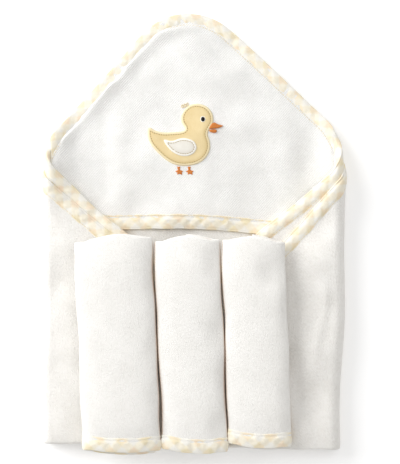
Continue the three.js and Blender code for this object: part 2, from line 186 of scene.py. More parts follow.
def ripple(x, y, wavelength, seed):
    """Smooth random height between about -1 and 1 over x, y."""
    rng = np.random.default_rng(seed)
    total = np.zeros(np.broadcast(x, y).shape)
    waves = 7
    for _ in range(waves):
        angle = rng.uniform(0, math.pi)
        size = wavelength * rng.uniform(0.6, 1.6)
        phase = rng.uniform(0, 2 * math.pi)
        total += np.sin((x * math.cos(angle) + y * math.sin(angle)) * 2 * math.pi / size + phase)
    return total / math.sqrt(waves)


def wrinkle(x, y):
    """A soft wavering wrinkle down the right side of the towel."""
    course = 130 * MM + 5 * MM * np.sin((y + 100 * MM) / (20 * MM))
    across = np.exp(-(((x - course) / (5 * MM)) ** 2))
    along = smoothstep((-45 * MM - y) / (25 * MM)) * smoothstep((y + 155 * MM) / (30 * MM))
    return 1.6 * MM * across * along


def settle(x, y, z):
    """The lie of the whole folded towel: every layer moves alike, so that none cuts another."""
    low = smoothstep((BOTTOM + 120 * MM - y) / (120 * MM))
    skew = -0.022 * (x - 120 * MM)
    drawn_in = -4.5 * MM * smoothstep((-40 * MM - y) / (190 * MM)) * smoothstep(x / (150 * MM))
    new_x = x + drawn_in + 0.9 * MM * ripple(y, 0 * y, 190 * MM, 11) * smoothstep(np.abs(x) / (150 * MM))
    new_y = y + low * (skew + 0.7 * MM * ripple(x, 0 * x, 60 * MM, 12))
    above_floor = np.clip(z / (8 * MM), 0, 1)
    waves = 0.9 * MM * ripple(x, y, 150 * MM, 13) + 0.25 * MM * ripple(x, y, 34 * MM, 14)
    to_side = smoothstep((np.abs(x) - 119 * MM) / (31 * MM))
    at_corner = smoothstep((y - 10 * MM) / (45 * MM)) * smoothstep((150 * MM - y) / (50 * MM))
    cupped = np.where(x < 0, 9, 6) * MM * to_side * at_corner
    return new_x, new_y, z + (waves + cupped + wrinkle(x, y)) * above_floor


def lapel_rise(x, y):
    """How far the slack lapels stand up beside the washcloths, which hold them down."""
    return 3.2 * MM * LAPEL_SLACK(x, y)


def droop(x, y):
    """How far the right lapel sinks onto the hood, away from its fold and from the left lapel."""
    near_fold = smoothstep((x - (FOLD_X[1] - 50 * MM)) / (50 * MM))
    over_left = smoothstep((height_on(LAPEL[-1, "inner"], x) + 36 * MM - y) / (45 * MM))
    return RIGHT_DROOP * (1 - np.maximum(near_fold, over_left))


def place(u, y, h, ply):
    """Turns flat cloth over the side folds. u runs across the cloth, h is the height the point has in the
    middle of the towel, and ply is the middle height of the ply that u is measured on."""
    x, z = np.array(u, float), np.array(h, float) * np.ones_like(u)
    y = np.array(y, float) * np.ones_like(x)
    for side in (-1, 1):
        beyond = side * (u - FOLD_X[side])
        mean = FOLD_Z[side] - ply
        turned = np.clip(beyond / mean, 0, math.pi)
        radius = FOLD_Z[side] - h
        back = np.maximum(beyond - math.pi * mean, 0)
        over = beyond > 0
        x = np.where(over, FOLD_X[side] + side * (radius * np.sin(turned) - back), x)
        z = np.where(over, FOLD_Z[side] - radius * np.cos(turned), z)
        turned_over = smoothstep(turned / math.pi)
        if side > 0:
            z = z - np.where(over, droop(x, y) * turned_over, 0)
        z = z + np.where(over, lapel_rise(x, y) * turned_over * (1 if side > 0 else 0.6), 0)
    return np.stack(settle(x, y, z), axis=-1)


def turn_length(side, ply):
    """How much cloth of a ply goes round a side fold."""
    return math.pi * (FOLD_Z[side] - ply)


def unrolled(side, x, ply):
    """Where a lapel's x lies on the flat cloth."""
    return FOLD_X[side] + side * (turn_length(side, ply) + side * (FOLD_X[side] - x))


def matching(u, ply, other):
    """Where points u of one ply's flat cloth lie on the flat cloth of another ply."""
    there = u * 1.0
    for side in (-1, 1):
        beyond = side * (u - FOLD_X[side])
        own, longer = turn_length(side, ply), turn_length(side, other)
        on_other = np.where(beyond < own, beyond * longer / own, beyond + longer - own)
        there = np.where(beyond > 0, FOLD_X[side] + side * on_other, there)
    return there


def edge_line(ply, seam, which):
    """A bound edge of the square, unrolled: from the left lapel's tip to the right lapel's tip."""
    left, right = LAPEL[-1, which], LAPEL[1, which]
    left = left[(left[:, 0] > FOLD_X[-1]) & (left[:, 1] > BOTTOM + TIP_RISE)][::-1]
    right = right[(right[:, 0] < FOLD_X[1]) & (right[:, 1] > BOTTOM + TIP_RISE)][::-1]
    middle = seam[(seam[:, 0] > FOLD_X[-1]) & (seam[:, 0] < FOLD_X[1])]
    line = np.vstack([
        np.column_stack([unrolled(-1, left[:, 0], ply), left[:, 1]]),
        middle,
        np.column_stack([unrolled(1, right[:, 0], ply), right[:, 1]]),
    ])
    even = resampled(line, 3 * MM)
    return averaged(np.vstack([np.repeat(even[:1], 2, 0), even, np.repeat(even[-1:], 2, 0)]), 5)


INNER_EDGE = edge_line(BODY, SEAM, "inner")
OUTER_EDGE = edge_line(BACK, BACK_SEAM, "outer")

# ---------------------------------------------------------------- meshes


def make_object(name, points, faces, material, maps=None, smooth=True):
    mesh = bpy.data.meshes.new(name)
    mesh.from_pydata([tuple(p) for p in points], [], faces)
    mesh.validate()
    if maps is not None:
        layer = mesh.uv_layers.new(name="cloth")
        corners = np.empty(len(mesh.loops), int)
        mesh.loops.foreach_get("vertex_index", corners)
        layer.data.foreach_set("uv", maps[corners].ravel())
    mesh.polygons.foreach_set("use_smooth", [smooth] * len(mesh.polygons))
    mesh.materials.append(material)
    obj = bpy.data.objects.new(name, mesh)
    bpy.context.scene.collection.objects.link(obj)
    return obj


def grid_faces(rows, columns, start=0, wrap_rows=False, wrap_columns=False):
    """Faces of a grid of points stored row by row."""
    i = np.arange(rows if wrap_rows else rows - 1)
    j = np.arange(columns if wrap_columns else columns - 1)
    i, j = [k.ravel() for k in np.meshgrid(i, j, indexing="ij")]
    down, along = (i + 1) % rows, (j + 1) % columns
    quads = [i * columns + j, i * columns + along, down * columns + along, down * columns + j]
    return (np.stack(quads, axis=1) + start).tolist()


def outward(obj):
    """Merges doubled points and turns every face outward."""
    work = bmesh.new()
    work.from_mesh(obj.data)
    bmesh.ops.remove_doubles(work, verts=work.verts, dist=1e-6)
    bmesh.ops.recalc_face_normals(work, faces=work.faces)
    work.to_mesh(obj.data)
    work.free()
    return obj


def ride(obj, slot, body, *nodes):
    """The piece moves with a body and stands for some CAD nodes."""
    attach(obj, body)
    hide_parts(*nodes)


def sheet(name, points, material):
    """A closed cloth from a grid of points: one face's rows down, then the other face's rows back."""
    rows, size, _ = points.shape
    faces = grid_faces(rows, size, wrap_rows=True)
    for column in (0, size - 1):
        for i in range(rows // 2 - 1):
            corners = (i, i + 1, rows - 2 - i, rows - 1 - i)
            faces.append([corner * size + column for corner in corners])
    return outward(make_object(name, points.reshape(-1, 3), faces, material))


def loft(name, rings, material, maps=None):
    """A closed solid from rings of points, one after another, with both ends filled."""
    count, around, _ = rings.shape
    faces = grid_faces(count, around, wrap_columns=True)
    faces.append(list(range(around)))
    faces.append([(count - 1) * around + k for k in range(around)][::-1])
    return outward(make_object(name, rings.reshape(-1, 3), faces, material, maps))


def tape_section(low, high, width):
    """Outline of a binding round an edge, as a closed loop of rows: distance from the edge, height, and
    how much a pucker of the tape lifts the point."""
    across = np.linspace(width, 0, 14)
    share = across / width
    crown = np.clip(np.sin(math.pi * share**0.8), 0, 1) ** 0.7
    pinch = 0.6 * MM * np.exp(-(((across - STITCH_INSET) / (1.0 * MM)) ** 2))
    top = np.column_stack([across, high - pinch, crown])
    centre, half = (low + high) / 2, (high - low) / 2
    turns = np.linspace(0, math.pi, 9)[1:-1]
    nose = np.column_stack([-1.2 * MM * np.sin(turns), centre + half * np.cos(turns), 0.3 * np.cos(turns)])
    bottom = np.column_stack([across, low + pinch, -crown])[::-1]
    return np.vstack([top, nose, bottom])


def puckered(along, d, puff, seed):
    """Height of a tape's crown: it swells and gathers between its stitches."""
    gather = ripple(along, d * 0.8, 9 * MM, seed) + 0.6 * ripple(along, d, 23 * MM, seed + 1)
    return np.clip(puff + 0.32 * MM * gather, 0.15 * puff, 2.2 * puff)


def tape(name, lengths, section, puff, seed, spot):
    """A gingham binding along an edge whose lengths so far are given. spot gives the points at a distance
    from the edge and a height, and puff is the height of the tape's crown."""
    d, base, lift = [np.broadcast_to(column, (len(lengths), len(section))) for column in section.T]
    along = np.broadcast_to(lengths[:, None], d.shape)
    height = base + lift * puckered(along, d, np.broadcast_to(puff, len(lengths))[:, None], seed)
    maps = np.stack([along, d], axis=-1)
    return loft(name, spot(d, height), GINGHAM, maps.reshape(-1, 2))


def flat_tape(name, edge, into, spots, section, puff, seed):
    """A binding along a line of flat cloth. into points from the edge into the cloth, and spots turns flat
    cloth into place."""

    def spot(d, height):
        return spots(edge[:, 0, None] + into[:, 0, None] * d, edge[:, 1, None] + into[:, 1, None] * d, height)

    return tape(name, lengths_along(edge), section, puff, seed, spot)


def stitches(name, line, spots, height, material, length=2.5 * MM, gap=0.9 * MM, radius=0.26 * MM):
    """A row of sewn stitches along a line of flat cloth, each a short arched length of thread."""
    lengths = lengths_along(line)
    starts = np.arange(0, lengths[-1] - length, length + gap)
    share = np.array([0, 0.12, 0.5, 0.88, 1])
    lift = np.array([-0.5, 0.3, 0.75, 0.3, -0.5]) * radius
    thick = np.array([0.35, 0.9, 1, 0.9, 0.35])[:, None, None] * radius
    angle = np.linspace(0, 2 * math.pi, 7)[:-1, None]
    along = starts[:, None] + share * length
    u, y = [np.interp(along, lengths, line[:, k]) for k in range(2)]
    lift = lift * np.ones_like(u)
    middle = spots(u, y, height + lift)
    forward = unit(np.gradient(middle, axis=1))
    aside = unit(np.cross(forward, spots(u, y, height + 1 * MM + lift) - middle))
    up = np.cross(aside, forward)
    circle = aside[..., None, :] * np.cos(angle) + up[..., None, :] * np.sin(angle)
    rings = middle[..., None, :] + circle * thick
    faces = []
    around = len(angle)
    size = len(share) * around
    for first in range(0, len(starts) * size, size):
        faces += grid_faces(len(share), around, start=first, wrap_columns=True)
        faces.append([first + i for i in range(around)])
        faces.append([first + size - 1 - i for i in range(around)])
    return outward(make_object(name, rings.reshape(-1, 3), faces, material))


# ---------------------------------------------------------------- materials


class Nodes:
    """A new material's node tree, with short calls for the nodes used here."""

    def __init__(self, name):
        self.material = bpy.data.materials.new(name)
        self.material.use_nodes = True
        self.tree = self.material.node_tree
        self.shader = self.tree.nodes["Principled BSDF"]

    def give(self, socket, value):
        """Gives an input a value or another node's output."""
        if isinstance(value, (int, float, tuple)):
            socket.default_value = value
        else:
            self.tree.links.new(value, socket)

    def feed(self, node, **inputs):
        for name, value in inputs.items():
            self.give(node.inputs[name.replace("_", " ")], value)
        return node

    def add(self, kind, **inputs):
        return self.feed(self.tree.nodes.new("ShaderNode" + kind), **inputs)

    def turned(self, source, angle):
        return self.add("Mapping", Vector=source, Rotation=(0, 0, math.radians(angle))).outputs[0]

    def place(self, angle=0):
        """Where a point lies in the scene, with the directions turned by an angle in degrees."""
        return self.turned(self.add("TexCoord").outputs["Object"], angle)

    def noise(self, vector, scale, detail=2.0, roughness=0.5):
        return self.add("TexNoise", Vector=vector, Scale=scale, Detail=detail, Roughness=roughness).outputs[0]

    def rows(self, vector, scale, distortion):
        """Soft parallel rows across the vector's x."""
        return self.add("TexWave", Vector=vector, Scale=scale, Distortion=distortion).outputs["Fac"]

    def ramp(self, value, low, high):
        return self.add("MapRange", Value=value, From_Min=low, From_Max=high).outputs[0]

    def math(self, operation, *values):
        node = self.add("Math")
        node.operation = operation
        for socket, value in zip(node.inputs, values):
            self.give(socket, value)
        return node.outputs[0]

    def total(self, *parts):
        """The sum of some outputs, each times its weight."""
        value = 0.0
        for output, weight in parts:
            value = self.math("MULTIPLY_ADD", output, weight, value)
        return value

    def mix(self, factor, a, b):
        node = self.add("Mix")
        node.data_type = "RGBA"
        for index, value in ((0, factor), (6, a), (7, b)):
            self.give(node.inputs[index], value)
        return node.outputs[2]

    def shaded_in_gaps(self, colour, reach, gap_shade):
        """Painted shade: deep in gaps that are narrower than reach, where shade falls, the colour turns
        towards a darker tint.
        """
        openness = self.add("AmbientOcclusion", Distance=reach)
        openness.samples = 8
        return self.mix(self.ramp(openness.outputs["AO"], 0.15, 0.8), gap_shade, colour)

    def finish(self, colour, roughness, relief, depth, sheen):
        """The finished cloth or thread: relief is its height as a node's output, and depth its size."""
        normal = self.add("Bump", Height=relief, Distance=depth).outputs[0]
        self.feed(self.shader, Base_Color=colour, Roughness=roughness, Normal=normal, Sheen_Weight=sheen)
        self.feed(self.shader, Sheen_Roughness=0.5, Specular_IOR_Level=0.15)
        return self.material


def srgb(red, green, blue):
    """Linear colour of an sRGB colour given from 0 to 255."""
    shares = [value / 255 for value in (red, green, blue)]
    return (*(s / 12.92 if s <= 0.04 else ((s + 0.055) / 1.055) ** 2.4 for s in shares), 1)


def terry_material(name, light, dark, gap_shade, loop, depth):
    """Looped cotton pile: loops of a given size, a little uneven in height and colour. Narrow gaps take a
    darker tint as painted shade."""
    n = Nodes(name)
    spot = n.place()
    loops = n.add("TexVoronoi", Vector=spot, Scale=1 / loop, Randomness=0.9)
    loops.feature = "SMOOTH_F1"
    n.feed(loops, Smoothness=0.6)
    tufts = n.math("SUBTRACT", 1.0, loops.outputs["Distance"])
    fuzz = n.noise(spot, 1 / (loop * 0.45), 3, 0.7)
    lie = n.noise(spot, 45, 3)
    rows = n.rows(n.place(-45), 0.314 / (1.3 * loop), 1.5)
    pile = n.total((tufts, 0.6), (fuzz, 0.6), (lie, 0.5), (rows, 0.16))
    # painted shade: the colour darkens towards the tint in narrow gaps
    colour = n.shaded_in_gaps(n.mix(n.ramp(pile, 0.6, 1.35), dark, light), 10 * MM, gap_shade)
    return n.finish(colour, 0.95, pile, depth, sheen=0.25)


def hood_material():
    """Fine knitted terry whose ribs run aslant, under a short pile. The ribs show more in some patches."""
    n = Nodes("hood_terry")
    spot = n.place()
    ribs = n.rows(n.place(42), 165, 1.6)
    patches = n.ramp(n.noise(spot, 90), 0.3, 0.7)
    clear = n.math("MULTIPLY", ribs, n.math("MULTIPLY_ADD", patches, 0.5, 0.12))
    pile = n.total((clear, 1.0), (n.noise(spot, 700, 3, 0.65), 1.1), (n.noise(spot, 38, 3), 0.4))
    colour = n.mix(n.ramp(pile, 0.55, 1.3), srgb(226, 225, 222), srgb(249, 248, 246))
    return n.finish(colour, 0.93, pile, 0.45 * MM, sheen=0.25)


def gingham_material():
    """Plain-weave cotton tape cut on the bias: white, pale yellow and peach checks set corner to corner."""
    n = Nodes("gingham")
    check = 8 * MM
    weave = 0.55 * MM
    cloth = n.add("UVMap")
    cloth.uv_map = "cloth"
    bias = n.add("SeparateXYZ", Vector=n.turned(cloth.outputs[0], 45)).outputs
    spot = n.place()
    blur = n.math("SUBTRACT", n.noise(spot, 320, 3), 0.5)
    stripes, threads = [], []
    for across in bias[:2]:
        wave = n.math("SINE", n.math("MULTIPLY", across, math.pi / check))
        stripes.append(n.ramp(n.total((blur, 1.5), (wave, 1.0)), -0.45, 0.45))
        threads.append(n.math("SINE", n.math("MULTIPLY", across, 2 * math.pi / weave)))
    crossing = n.math("MULTIPLY", *stripes)
    either = n.math("MAXIMUM", *stripes)
    peach = n.mix(n.ramp(n.noise(spot, 60), 0.35, 0.65), srgb(247, 229, 205), srgb(242, 231, 198))
    pale = n.mix(either, srgb(247, 244, 236), srgb(247, 240, 222))
    relief = n.math("MULTIPLY_ADD", n.math("MULTIPLY", *threads), 0.08, n.noise(spot, 190))
    return n.finish(n.mix(crossing, pale, peach), 0.82, relief, 0.7 * MM, sheen=0.15)


def thread_material(name, colour, dark):
    n = Nodes(name)
    strands = n.noise(n.place(), 2600)
    shade = n.mix(n.ramp(strands, 0.3, 0.7), dark, colour)
    return n.finish(shade, 0.55, strands, 0.08 * MM, sheen=0.1)


def satin_material(name, colour, dark, angle):
    """Satin stitch: threads lying side by side across a narrow shape."""
    n = Nodes(name)
    rows = n.rows(n.place(angle), 280, 1.5)
    return n.finish(n.mix(rows, dark, colour), 0.42, rows, 0.12 * MM, sheen=0.05)


def patch_material(name, colour, dark, pale):
    """Fine cotton cloth of an applique, with a paler painted highlight on its softly raised edge outside its
    row of stitches and painted shade along and just inside the stitches.
    """
    n = Nodes(name)
    spot = n.place()
    lie = n.noise(spot, 120)
    weave = n.noise(spot, 1500)
    shade = n.mix(n.ramp(n.total((lie, 0.6), (weave, 0.5)), 0.3, 0.8), dark, colour)
    inward = n.add("Attribute")
    inward.attribute_name = "inward"
    blurred = n.total((n.math("SUBTRACT", weave, 0.5), 0.2), (inward.outputs["Fac"], 1.0))
    # painted shade: a darker band along and just inside the row of stitches
    shade = n.mix(n.ramp(blurred, 0.35, 0.9), dark, shade)
    # painted highlight: the softly raised edge outside the stitches is paler
    shade = n.mix(n.ramp(blurred, 0.22, 0.38), pale, shade)
    return n.finish(shade, 0.85, n.math("ADD", weave, lie), 0.25 * MM, sheen=0.2)


# the third colour of each terry is the painted shade of its narrow gaps
TERRY = terry_material(
    "terry", srgb(253, 251, 248), srgb(230, 227, 221), srgb(214, 200, 178), 1.5 * MM, 0.7 * MM
)
VELOUR = terry_material(
    "washcloth_terry", srgb(252, 250, 247), srgb(232, 230, 225), srgb(174, 122, 50), 1.3 * MM, 0.6 * MM
)
HOOD_TERRY = hood_material()
GINGHAM = gingham_material()
COTTON = thread_material("cotton_thread", srgb(246, 232, 200), srgb(220, 200, 158))
GOLD = thread_material("gold_thread", srgb(186, 162, 106), srgb(128, 108, 62))
TUFT = thread_material("tuft_thread", srgb(243, 228, 190), srgb(220, 198, 148))
# for each patch cloth: its colour, its darker tone, which also paints the shade along its stitches, and the
# painted highlight of its raised edge
YELLOW = patch_material("yellow_cloth", srgb(234, 215, 171), srgb(222, 199, 148), srgb(237, 222, 184))
CREAM = patch_material("cream_cloth", srgb(237, 234, 226), srgb(226, 221, 211), srgb(246, 243, 235))
ORANGE = satin_material("orange_satin", srgb(230, 150, 80), srgb(176, 92, 34), -60)
BLACK = satin_material("black_satin", srgb(30, 26, 24), srgb(10, 9, 9), 0)

# ---------------------------------------------------------------- cloth simulation

FRAMES = 20
CLOTH = {  # soft towelling that may be blown up
    "quality": 5,
    "tension_stiffness": 20,
    "compression_stiffness": 20,
    "shear_stiffness": 8,
    "bending_stiffness": 0.5,
    "use_pressure": True,
}


def simulated(name, points, faces, held, swell, pressure, cap):
    """How the points of a cloth move when it grows a little, is blown up a little and settles. held says
    which points stay, and cap is the furthest that a point may move."""
    obj = make_object(name, points, faces, TERRY)
    group = obj.vertex_groups.new(name="held")
    group.add(np.flatnonzero(held).tolist(), 1.0, "REPLACE")
    modifier = obj.modifiers.new("cloth", "CLOTH")
    settings = {"shrink_min": -swell, "vertex_group_mass": "held", "uniform_pressure_force": pressure}
    for setting, value in (CLOTH | settings).items():
        setattr(modifier.settings, setting, value)
    modifier.settings.effector_weights.gravity = 0
    modifier.collision_settings.use_collision = False
    for number in range(1, FRAMES + 1):
        bpy.context.scene.frame_set(number)
    evaluated = obj.evaluated_get(bpy.context.evaluated_depsgraph_get())
    moves = points_of(evaluated.to_mesh()) - points
    evaluated.to_mesh_clear()
    bpy.context.scene.frame_set(1)
    bpy.data.objects.remove(obj)
    size = np.linalg.norm(moves, axis=-1, keepdims=True)
    return moves * np.minimum(1, cap / np.maximum(size, 1e-9))


def between(grid, i, j):
    """Values of a grid at fractions of rows and columns."""
    i = np.clip(i, 0, grid.shape[0] - 1.001)
    j = np.clip(j, 0, grid.shape[1] - 1.001)
    row, column = i.astype(int), j.astype(int)
    a, b = (i - row), (j - column)
    if grid.ndim == 3:
        a, b = a[..., None], b[..., None]
    near = grid[row, column] * (1 - b) + grid[row, column + 1] * b
    far = grid[row + 1, column] * (1 - b) + grid[row + 1, column + 1] * b
    return near * (1 - a) + far * a


def softened(grid, passes):
    for _ in range(passes):
        padded = np.pad(grid, [(1, 1), (1, 1)] + [(0, 0)] * (grid.ndim - 2), mode="edge")
        sides = padded[:-2, 1:-1] + padded[2:, 1:-1] + padded[1:-1, :-2] + padded[1:-1, 2:]
        grid = 0.5 * padded[1:-1, 1:-1] + 0.125 * sides
    return grid


def slack_sheet(name, low, high, step, free, swell, seed):
    """The rise of a flat cloth that is held everywhere but where free(x, y) is above 0. It comes back as a
    function of x and y whose values run from 0 to about 1."""
    columns = np.arange(low[0], high[0], step)
    rows = np.arange(low[1], high[1], step)
    x, y = np.meshgrid(columns, rows)
    loose = free(x, y)
    start = 0.4 * MM * (1 + ripple(x, y, 70 * MM, seed)) * (loose > 0)
    points = np.stack([x, y, start], axis=-1).reshape(-1, 3)
    faces = grid_faces(len(rows), len(columns))
    moves = simulated(name, points, faces, loose.ravel() <= 0, swell, 0.6, 12 * MM)
    rise = softened((start + moves[:, 2].reshape(x.shape)) * smoothstep(loose / (12 * MM)), 3)
    rise = rise / max(np.percentile(rise, 98), 0.5 * MM)
    return lambda px, py: between(rise, (py - low[1]) / step, (px - low[0]) / step)


# ---------------------------------------------------------------- the towel


def lay(ply):
    return lambda u, y, h: place(u, y, h, ply)


def columns_for(edge):
    """Positions across the flat cloth, closer together round the side folds."""
    left, right = edge[:, 0].min(), edge[:, 0].max()
    spans = []
    for side in (-1, 1):
        turn = turn_length(side, BACK)
        spans.append(sorted((FOLD_X[side] - side * 2 * MM, FOLD_X[side] + side * (turn + 2 * MM))))
    return np.concatenate([
        np.arange(left, spans[0][0], 4 * MM),
        np.linspace(*spans[0], 22),
        np.arange(spans[0][1] + 4 * MM, spans[1][0] - 2 * MM, 4 * MM),
        np.linspace(*spans[1], 28),
        np.arange(spans[1][1] + 3 * MM, right, 3 * MM),
    ])


def towel_square():
    """One square of terry, folded in half along the bottom and turned over at both sides."""
    u = columns_for(INNER_EDGE)
    top_in = np.maximum(height_on(INNER_EDGE, u) - CLOTH_INSET, BOTTOM)
    # The outer ply is the longer way round, so its edge is read at the matching place.
    top_out = np.maximum(height_on(OUTER_EDGE, matching(u, BODY, BACK)) - CLOTH_INSET, BOTTOM)
    half = PLUSH / 2
    t = np.linspace(0, 1, 80) ** 0.9
    turn = np.linspace(0, math.pi, 8)[1:-1]
    paths = []
    for sign in (1, -1):
        front_y = top_in[None, :] + (BOTTOM - top_in[None, :]) * t[:, None]
        front_h = np.full_like(front_y, BODY + sign * half)
        radius = PITCH / 2 + sign * half
        round_y = BOTTOM - radius * np.sin(turn)[:, None] * np.ones_like(u)
        round_h = BODY - PITCH / 2 + radius * np.cos(turn)[:, None] * np.ones_like(u)
        back_y = BOTTOM + (top_out[None, :] - BOTTOM) * (t[::2][:, None])
        back_h = np.full_like(back_y, BACK - sign * half)
        paths.append((np.vstack([front_y, round_y, back_y]), np.vstack([front_h, round_h, back_h])))
    y = np.vstack([paths[0][0], paths[1][0][::-1]])
    h = np.vstack([paths[0][1], paths[1][1][::-1]])
    points = place(np.broadcast_to(u, y.shape), y, h, BODY)
    points[..., 2] -= crease(points[..., 0], points[..., 1]) * (h > BACK + PLY) * (points[..., 2] < HOOD)
    ride(sheet("towel_square_cloth", points, TERRY), "terry", "towel", "towel_square")


def crease(x, y):
    """A short soft crease in the ply that shows just below the hood's front edge."""
    across = np.abs(x + 4 * MM)
    along = smoothstep((y + 70 * MM) / (40 * MM)) * smoothstep((60 * MM - y) / (60 * MM))
    return 1.4 * MM * np.exp(-((across / (3 * MM)) ** 2)) * along


def edge_tape(side, edge, ply, low, high):
    """The binding of the square's front or back edge, plumper on the lapels."""
    name = f"{side}_edge_tape"
    edge = resampled(edge, 1.6 * MM)
    on_lapels = np.maximum(FOLD_X[-1] - edge[:, 0], edge[:, 0] - FOLD_X[1])
    puff = (0.8 + 1.3 * smoothstep(on_lapels / (30 * MM))) * MM
    section = tape_section(low, high, BINDING)
    obj = flat_tape(name, edge, normals_of(edge), lay(ply), section, puff, len(name))
    ride(obj, "gingham", "towel", f"{side}_edge_binding")


def edge_topstitches(edge_name, which, edge, ply):
    """The stitches of one edge of the square. The lapels show the cloth's underside, and the middle, where
    the hood is sewn on, its upper side."""
    line = edge + normals_of(edge) * STITCH_INSET
    face = PLY / 2 + 0.75 * MM
    if ply == BODY:
        shown = line[(line[:, 0] > FOLD_X[-1]) & (line[:, 0] < FOLD_X[1])]
        row = stitches(f"{edge_name}_edge_stitches_on_hood", shown, lay(ply), HOOD + face, COTTON)
        ride(row, "cotton_thread", "towel", "hood_seam_topstitch")
    for side, label in ((-1, "left"), (1, "right")):
        shown = line[side * line[:, 0] > side * FOLD_X[side] + math.pi * 4 * MM]
        row = stitches(f"{edge_name}_edge_stitches_{label}", shown, lay(ply), ply - face, COTTON)
        ride(row, "cotton_thread", "towel", f"{label}_{which}_lapel_topstitch")


# ---------------------------------------------------------------- the hood

FIXED_REACH = 46 * MM  # from a held edge of the hood to where it lifts freely
APEX_X = SEAM[np.argmax(SEAM[:, 1]), 0]


def free_distance(x, y):
    """How far inside the hood's free middle a point lies; 0 where the hood is sewn down or covered."""
    held = [SEAM + normals_of(SEAM) * BINDING, LAPEL[-1, "inner"], LAPEL[1, "inner"]]
    inside = y < height_on(held[0], x)
    inside &= y > height_on(held[1], x)
    inside &= y > height_on(held[2], x)
    distance = np.min([distance_to(line, x, y) for line in held], axis=0)
    return np.where(inside, distance, 0)


def hood_rise(x, y):
    """The hood's soft arch above the towel at rest, with a few slack wrinkles."""
    return np.clip(4.2 * MM * HOOD_SLACK(x, y), -0.3 * MM, None)


def bulged(u, y, h):
    """The hood's cloth swells over its binding, most on the left."""
    inward = distance_to(INNER_EDGE, u, y)
    near = np.exp(-(((inward - 15.5 * MM) / (4.5 * MM)) ** 2))
    on_left = smoothstep((40 * MM - u) / (60 * MM)) * smoothstep((u - FOLD_X[-1]) / (25 * MM))
    swell = near * (0.25 + 0.75 * on_left) * (inward > 4 * MM) * (0.85 + 0.3 * ripple(u, y, 30 * MM, 22))
    lean = np.where(u < APEX_X, -1, 1)
    return u + lean * 2.8 * MM * swell, y + 2.8 * MM * swell, h + 2.2 * MM * swell


def bend_with_hood(obj, slot, *nodes):
    """The piece's placing is baked into its points, and the CAD nodes it stands for are hidden. How freely
    each point lies on the hood is worked out but not used."""
    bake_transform(obj)
    points = points_of(obj.data)
    weight = smoothstep(free_distance(points[:, 0], points[:, 1]) / FIXED_REACH)
    if nodes:
        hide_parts(*nodes)


def on_hood(u, y, h):
    """Flat cloth on the hood: h is counted as on the flat hood ply, and the hood's arch is added."""
    in_middle = (u > FOLD_X[-1]) & (u < FOLD_X[1])
    rise = np.where(in_middle, hood_rise(u, y), 0)
    return place(u, y, h + rise, HOOD)


def hood_cloth():
    turns = {side: turn_length(side, HOOD) for side in (-1, 1)}
    left = FOLD_X[-1] - turns[-1] - 66 * MM
    right = FOLD_X[1] + turns[1] + 72 * MM
    u = np.unique(np.concatenate([
        np.arange(left, FOLD_X[-1] - turns[-1], 5 * MM),
        np.linspace(FOLD_X[-1] - turns[-1], FOLD_X[-1], 8),
        np.arange(FOLD_X[-1], FOLD_X[1], 3 * MM),
        np.linspace(FOLD_X[1], FOLD_X[1] + turns[1], 12),
        np.arange(FOLD_X[1] + turns[1], right, 5 * MM),
    ]))
    folded_x = u * 1.0
    for side in (-1, 1):
        beyond = side * (u - FOLD_X[side])
        folded_x = np.where(beyond > 0, FOLD_X[side] - side * np.maximum(beyond - turns[side], 0), folded_x)
    # The bound edge is read at the matching place on the ply below it.
    top = height_on(INNER_EDGE, matching(u, HOOD, BODY)) - CLOTH_INSET
    front = height_on(FRONT, np.clip(folded_x, FOLD_X[-1], FOLD_X[1]))
    foot = np.minimum(front + CLOTH_INSET, top - 1 * MM)
    t = np.linspace(0, 1, 96)[:, None] ** 1.25  # closer together where the cloth bulges at the seam
    y = top + (foot - top) * t
    u_all = np.broadcast_to(u, y.shape)
    upper = on_hood(*bulged(u_all, y, HOOD + PLUSH / 2))
    lower = on_hood(u_all, y[::-1], HOOD - PLUSH / 2)
    obj = sheet("hood_cloth", np.vstack([upper, lower]), HOOD_TERRY)
    bend_with_hood(obj, "terry", "hood_panel", "hood_sewn_part")


def hood_front_tape():
    x = np.arange(FOLD_X[-1] + 2 * MM, FOLD_X[1] - 2 * MM, 1.6 * MM)
    edge = np.column_stack([x, height_on(FRONT, x)])
    into = -normals_of(edge)
    section = tape_section(HOOD - PLY / 2, HOOD + PLY / 2, 15 * MM)
    obj = flat_tape("hood_front_tape", edge, into, on_hood, section, 1.0 * MM, 5)
    bend_with_hood(obj, "gingham", "hood_front_binding")
    line = edge + into * 13.2 * MM
    shown = free_distance(line[:, 0], line[:, 1]) > 0
    row = stitches("hood_front_stitches", line[shown], on_hood, HOOD + PLY / 2 + 0.9 * MM, COTTON)
    bend_with_hood(row, "cotton_thread", "hood_front_topstitch")


# ---------------------------------------------------------------- the duckling

# the patches' painted highlight and painted stitch shade lie within this reach
EDGE_REACH = 8 * MM  # how far in from its edge a patch's colour still changes


def border_of(faces):
    """The edges that only one face has, in that face's direction."""
    edges = dict.fromkeys(pair for face in faces for pair in zip(face, (*face[1:], face[0])))
    return [(a, b) for a, b in edges if (b, a) not in edges]


def outline_of(node):
    """The outline of a flat CAD patch, in order round it."""
    points = node_points(node)
    upper = points[:, 2] > points[:, 2].max() - 0.05 * MM
    _, first, welded = np.unique(np.round(points, 6), axis=0, return_index=True, return_inverse=True)
    same = first[welded.ravel()].tolist()
    polygons = [polygon.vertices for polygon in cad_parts[node].data.polygons]
    border = border_of([tuple(same[v] for v in face) for face in polygons if all(upper[v] for v in face)])
    start, following = border[0]
    after = dict(border)
    if following < start:  # the walk starts at the first edge's lower-numbered end
        start = following
        after = {b: a for a, b in border}
    loop = [start]
    while after[loop[-1]] != start:
        loop.append(after[loop[-1]])
    return points[loop][:, :2]


